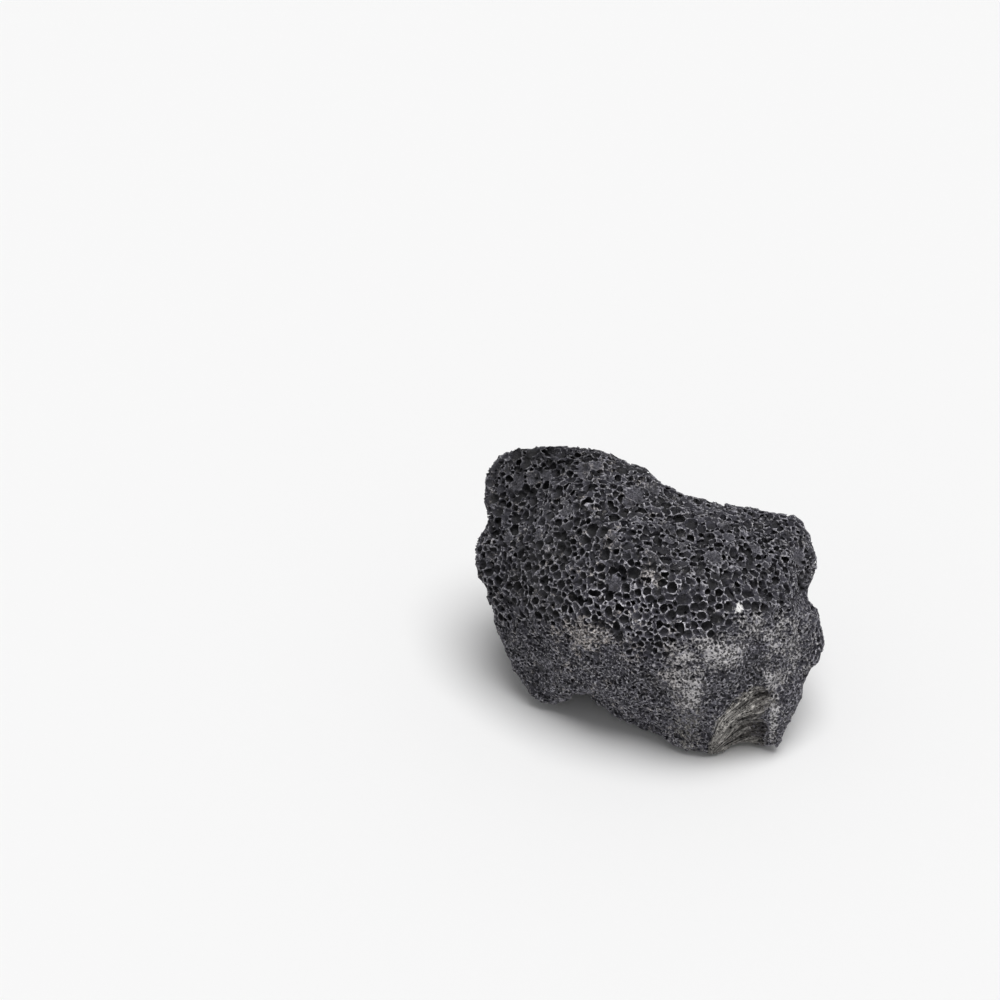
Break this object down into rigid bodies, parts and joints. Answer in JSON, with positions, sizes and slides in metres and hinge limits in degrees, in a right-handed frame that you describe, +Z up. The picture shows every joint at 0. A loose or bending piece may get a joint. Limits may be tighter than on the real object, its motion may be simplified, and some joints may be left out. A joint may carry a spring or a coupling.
{
  "type": "lava rock",
  "caption": "Irregular broken block of dark, bubble-filled lava rock with a broad honeycombed face; it stands on its worn base as a landscape or display stone.",
  "frame": {"origin": "on the ground, in the middle of the bounding box of the stone as it stands", "axes": "+Z up; +X along the stone's length, to the right as its broad honeycombed face is seen; -Y towards the side that the broad face looks to"},
  "size_m": [0.1516, 0.111, 0.1027],
  "materials": {
    "basalt": "rough, matte and full of bubble holes, dark blue-grey in the holes and paler on the worn rims"
  },
  "bodies": {
    "root": {"lava_rock": "basalt"}
  },
  "joints": []
}
